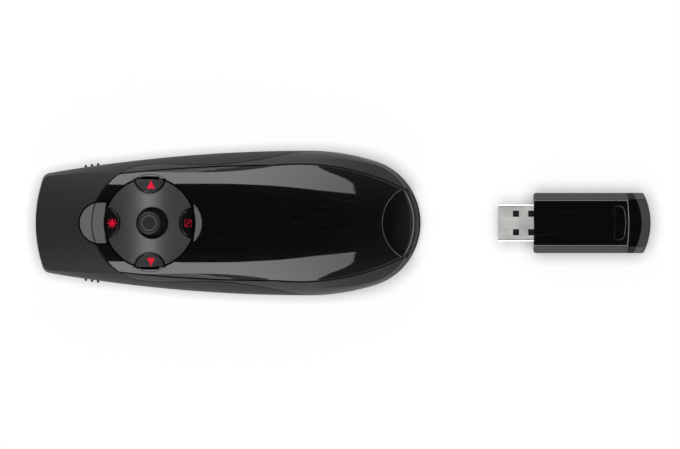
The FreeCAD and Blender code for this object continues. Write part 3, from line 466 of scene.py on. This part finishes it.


# Each of these takes the finish so far, adds its details, and gives the colour and the share of painted shade

def dressCap(wire, look):
    ring, core = capRings(wire)
    place = wire.node("ShaderNodeTexCoord", output="Object")
    cells = {"Vector": place, "Scale": paint["knurlSize"]}
    knob = wire.node("ShaderNodeTexVoronoi", None, cells, output="Distance")
    # painted highlight ring on the cap
    tone = blendColours(wire, ring * paint["capRingShare"], look["colour"], paint["capRing"], look["tone"])
    # the knurled core is darkened, most of all in the hollows between its knobs, as painted shade
    hollowShade = core * (paint["capCoreShare"] - knob * 0.5).clipped()
    tone = blendColours(wire, hollowShade, look["colour"], paint["capCore"], tone)
    look["sockets"]["Normal"] = wire.node("ShaderNodeBump", None, {
        "Strength": 0.7, "Distance": paint["knurlHeight"], "Height": look["fine"] * 0.25 + core * knob,
        "Normal": look["bump"]})
    return tone, None


def dressCase(wire, look):
    inside, line = scoopShape(wire)
    look["sockets"].update({"Coat Weight": inside * paint["scoopShine"], "Coat Roughness": 0.04})
    # a painted highlight line on the mouth's bevel
    tone = blendColours(wire, mouthHighlight(wire), look["colour"], paint["brightLine"], look["tone"])
    # painted shade on the scoop's outline and near the scoop's edges
    return tone, line + inside * nearEdge(wire, paint["scoopGap"])


def dressCover(wire, look):
    line = scoopShape(wire)[1]
    steep, notch = steepness(wire), notchShare(wire)
    place = wire.node("ShaderNodeTexCoord", output="Object")
    drawn = wire.node("ShaderNodeMapping", None, {"Vector": place, "Scale": (paint["smearStretch"], 1.0, 1.0)})
    smear = wire.node("ShaderNodeTexNoise", None, {"Vector": drawn, "Scale": paint["smearSize"], "Detail": 4.0})
    streak = ((smear - paint["smearKeep"]) * paint["smearGain"]).clipped() * look["broad"]
    tone = blendColours(wire, streak, look["colour"], paint["smear"], look["tone"])
    # Painted highlights: lines on the receiver plate's D and bowed end, and the notch's steep edge faces
    # painted lighter
    ring, end = plateHighlights(wire)
    tone = blendColours(wire, steep * notch, look["colour"], paint["notchHighlight"], tone)
    tone = blendColours(wire, ring * paint["ringShare"] + end, look["colour"], paint["brightLine"], tone)
    # painted shade on the scoop's outline, on steep faces and near edges, except round the notch
    return tone, line + (steep + nearEdge(wire, paint["coverGap"])) * (1.0 - notch)


def dressButton(wire, look):
    # painted shade on the button's steep walls and near its edges
    return look["tone"], steepness(wire) + nearEdge(wire, paint["buttonGap"])


def dressDish(wire, look):
    x, y, z = placeOf(wire)
    along = x - dishCentre[0]
    outside = (along * along + y * y) ** 0.5 > dishShadeFrom
    # painted shade near the dish's edges and over its outermost edge
    return look["tone"], nearEdge(wire, paint["bandGap"]) * paint["bandGapGain"] + outside


def dressBand(wire, look):
    # painted light: the band is painted paler towards the tail, and the receiver's end cap fully paler,
    # standing in for light from the tail side
    x, y, z = placeOf(wire)
    tailward = ((x - paint["tailFrom"]) * paint["tailGain"]).clipped()
    paintedLight = tailward * paint["tailShare"] + (x > receiverFrom) * (1 - paint["tailShare"])
    tone = blendColours(wire, paintedLight, look["colour"], paint["paintedTailLight"], look["tone"])
    # painted shade near the band's edges
    return tone, nearEdge(wire, paint["bandGap"]) * paint["bandGapGain"]


dressings = {
    "cap_rubber": dressCap, "case_plastic": dressCase, "gloss_plastic": dressCover,
    "button_plastic": dressButton, "dish_plastic": dressDish, "band_plastic": dressBand,
}


def makePlastic(name):
    colour, worn, roughness, swing, scale, height, shine, reach = plastics[name]
    material, wire = startFinish(name)
    fine, broad = grain(wire, scale), grain(wire, wear["broadSize"], wear["broadDetail"])
    edge = wornEdge(wire, reach, wear["plasticKeep"])
    tone = blendColours(wire, (edge * 0.6 + (broad - 0.5) * 0.15).clipped(), colour, worn)
    rough = ((broad - 0.5) * swing * 2 + (fine - 0.5) * swing + edge * 0.12 + roughness).clipped()
    bump = wire.node("ShaderNodeBump", None, {"Strength": 1.0, "Distance": height, "Height": fine})
    bend = denseGlass if name == "dish_plastic" else plainGlass
    sockets = {"Roughness": rough, "Normal": bump, "IOR": bend, "Specular IOR Level": shine}
    look = {"colour": colour, "tone": tone, "fine": fine, "broad": broad, "bump": bump, "sockets": sockets}
    gap = None
    if name in dressings:
        tone, gap = dressings[name](wire, look)
    shade = wire.node("ShaderNodeBsdfPrincipled", None, {"Base Color": tone, **sockets})
    return endFinish(material, withPaintedShade(wire, shade, gap) if gap else shade)


# metres from the middle of the plug to each fold line, and half a line's width
plugFold = {"half": 0.0054, "line": 0.00014, "shade": (0.12, 0.12, 0.12), "speckSize": 2600.0}

metals = {
    # name: colour, roughness, streaks along x (scale across), texture height, edge reach
    "bright_steel": ((0.62, 0.61, 0.59), 0.28, 9000.0, 0.000006, 0.0002),
    "plug_steel": ((0.80, 0.79, 0.77), 0.44, 7000.0, 0.000008, 0.0003),
    "can_metal": ((0.60, 0.60, 0.59), 0.30, 7000.0, 0.000006, 0.0002),
    "switch_metal": ((0.66, 0.65, 0.62), 0.26, 8000.0, 0.000004, 0.0002),
    "laser_brass": ((0.70, 0.50, 0.24), 0.30, 8000.0, 0.000006, 0.0002),
    "contact_gold": ((0.80, 0.56, 0.24), 0.26, 9000.0, 0.000004, 0.0002),
}


def makeMetal(name):
    colour, roughness, scale, height, reach = metals[name]
    material, wire = startFinish(name)
    place = wire.node("ShaderNodeTexCoord", output="Object")
    stretched = wire.node("ShaderNodeMapping", None, {"Vector": place, "Scale": (0.04, 1.0, 1.0)})
    streak = wire.node("ShaderNodeTexNoise", None, {"Vector": stretched, "Scale": scale, "Detail": 3.0})
    broad = grain(wire, wear["metalBroadSize"], 4.0)
    edge = wornEdge(wire, reach, wear["metalKeep"])
    dull = tuple(0.72 * part for part in colour)
    bright = tuple(min(1.0, 1.25 * part) for part in colour)
    tone = blendColours(wire, (edge * 0.5 + (broad - 0.5) * 0.8 + 0.5).clipped(), dull, bright)
    rough = (roughness + (streak - 0.5) * 0.12 + (broad - 0.5) * 0.2 - edge * 0.06).clipped()
    bump = wire.node("ShaderNodeBump", None, {"Strength": 0.8, "Distance": height, "Height": streak})
    if name == "plug_steel":
        # stamped sheet: specks, and two fold lines along the shell, painted darker as shade in the bends
        speck = grain(wire, plugFold["speckSize"])
        x, y, z = placeOf(wire)
        fold = y.size() - plugFold["half"]
        line = (fold * fold < plugFold["line"] ** 2) * (z > 0)
        marked = ((speck - 0.5) * 1.6).clipped() * 0.5 + line * 0.5
        tone = blendColours(wire, marked, dull, plugFold["shade"], tone)
    shade = wire.node("ShaderNodeBsdfPrincipled", None, {
        "Base Color": tone, "Roughness": rough, "Metallic": 1.0, "Normal": bump})
    return endFinish(material, shade)


def makeLens():
    material, wire = startFinish("lens_clear")
    smear = grain(wire, 300.0, 4.0)
    tone = blendColours(wire, smear, (0.55, 0.06, 0.07), (0.75, 0.16, 0.16))
    shade = wire.node("ShaderNodeBsdfPrincipled", None, {
        "Base Color": tone, "Roughness": 0.03 + smear * 0.05, "IOR": plainGlass, "Transmission Weight": 0.85})
    return endFinish(material, shade)


finishes = {name: makePlastic(name) for name in plastics}
finishes.update({name: makeMetal(name) for name in metals})
finishes["lens_clear"] = makeLens()

for name, item in nodes.items():
    for place in item.material_slots:
        place.material = finishes[place.material.name.split(".")[0]]
print("finishes made:", len(finishes))

# Red marks on the buttons

markInk = {
    # colours, thickness in metres, and how fine the print's specks and its unevenness are
    "colour": (0.62, 0.004, 0.030), "worn": (0.30, 0.010, 0.030), "thick": 0.00005,
    "speckSize": 5200.0, "broadSize": 900.0,
}
markCentre = (-0.0248, -0.0001)

marks = {
    # button: bearing in degrees and reach from the centre, size and turn of the mark, share of full colour
    "forward_button": {"bearing": 90, "reach": 0.0121,
        "shape": "triangle", "size": 0.0030, "turn": 0, "full": 1.0},
    "back_button": {"bearing": 270, "reach": 0.0121,
        "shape": "triangle", "size": 0.0030, "turn": 180, "full": 0.85},
    "laser_button": {"bearing": 180, "reach": 0.0125,
        "shape": "burst", "size": 0.0032, "turn": 0, "full": 0.9},
    "blank_button": {"bearing": 0, "reach": 0.0120,
        "shape": "struckSquare", "size": 0.0023, "turn": 0, "full": 0.5},
}


def triangleLoops(size):
    # Corners at three bearings on an oval, a little higher than wide
    turn = np.radians([90, 210, 330])
    return [np.stack([0.50 * size * np.cos(turn), 0.62 * size * np.sin(turn)], axis=1)]


def burstLoops(size):
    # Eight rays: the outline swings between a far and a near radius, each ray blunt at its end
    ray = np.arange(8)[:, None] * math.pi / 4
    turn = (ray + np.array([-0.36, -0.09, 0.09, 0.36])).ravel()
    reach = np.tile([0.17, 0.5, 0.5, 0.17], 8) * size
    return [np.stack([reach * np.cos(turn), reach * np.sin(turn)], axis=1)]


def struckSquareLoops(size):
    # Four bars along the sides, mitred at the corners, and one bar from corner to corner
    half, thin = size / 2, size * 0.085
    inner = half - thin
    bar = np.array([[-half, half], [-inner, inner], [inner, inner], [half, half]])
    quarter = [bar @ np.array([[math.cos(a), math.sin(a)], [-math.sin(a), math.cos(a)]])
               for a in (0, math.pi / 2, math.pi, 3 * math.pi / 2)]
    slash = np.array([[-inner, -inner], [-inner + thin * 1.3, -inner], [inner, inner - thin * 1.3],
                      [inner, inner], [inner - thin * 1.3, inner], [-inner, -inner + thin * 1.3]])
    return quarter + [slash]


def makeInk(full):
    material, wire = startFinish("markInk%d" % round(100 * full))
    bright = tuple(full * part for part in markInk["colour"])
    speck, broad = grain(wire, markInk["speckSize"]), grain(wire, markInk["broadSize"])
    faded = ((speck - 0.6) * 3).clipped() * 0.6 + (broad - 0.5) * 0.2
    tone = blendColours(wire, faded, bright, markInk["worn"])
    bump = wire.node("ShaderNodeBump", None, {"Strength": 0.5, "Distance": 0.000006, "Height": speck})
    rough = (0.34 + (broad - 0.5) * 0.2).clipped()
    return endFinish(material, wire.node("ShaderNodeBsdfPrincipled", None, {
        "Base Color": tone, "Roughness": rough, "Normal": bump, "Specular IOR Level": 0.12}))


def buttonFace(button, spot):
    # height of the button's face as z = a + b x + c y, from three looks straight down on it
    step, above = 0.0005, 0.05
    places = [spot + np.array(aside) for aside in ((0, 0), (step, 0), (0, step))]
    high = [nodes[button].ray_cast((x, y, above), (0, 0, -1))[1][2] for x, y in places]
    b, c = (high[1] - high[0]) / step, (high[2] - high[0]) / step
    return high[0] - b * spot[0] - c * spot[1], b, c


def addMark(button):
    # Each loop of the mark lies on the button's face, and again a little lower; walls join the two
    mark = marks[button]
    bearing = math.radians(mark["bearing"])
    spot = np.array(markCentre) + mark["reach"] * np.array([math.cos(bearing), math.sin(bearing)])
    a, b, c = buttonFace(button, spot)
    turn = math.radians(mark["turn"])
    spin = np.array([[math.cos(turn), math.sin(turn)], [-math.sin(turn), math.cos(turn)]])
    loops = {"triangle": triangleLoops, "burst": burstLoops, "struckSquare": struckSquareLoops}[mark["shape"]]
    points, faces, start = [], [], 0
    for loop in loops(mark["size"]):
        flat = loop @ spin + spot
        area = np.sum(flat[:, 0] * np.roll(flat[:, 1], -1) - flat[:, 1] * np.roll(flat[:, 0], -1))
        flat = flat if area > 0 else flat[::-1]
        top = a + b * flat[:, 0] + c * flat[:, 1] + markInk["thick"] * 0.5
        count = len(flat)
        points += np.column_stack([flat, top]).tolist()
        points += np.column_stack([flat, top - markInk["thick"]]).tolist()
        this = np.arange(start, start + count)
        after = np.roll(this, -1)
        faces += [this.tolist(), (this[::-1] + count).tolist()]
        faces += np.stack([this, this + count, after + count, after], axis=1).tolist()
        start += 2 * count
    mesh = bpy.data.meshes.new(button + "Mark")
    mesh.from_pydata(points, [], faces)
    mesh.materials.append(makeInk(mark["full"]))
    piece = bpy.data.objects.new(button.replace("_button", "") + "Mark", mesh)
    bpy.context.scene.collection.objects.link(piece)
    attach(piece, button)
    return piece


for button in marks:
    addMark(button)
print("marks placed:", len(marks))
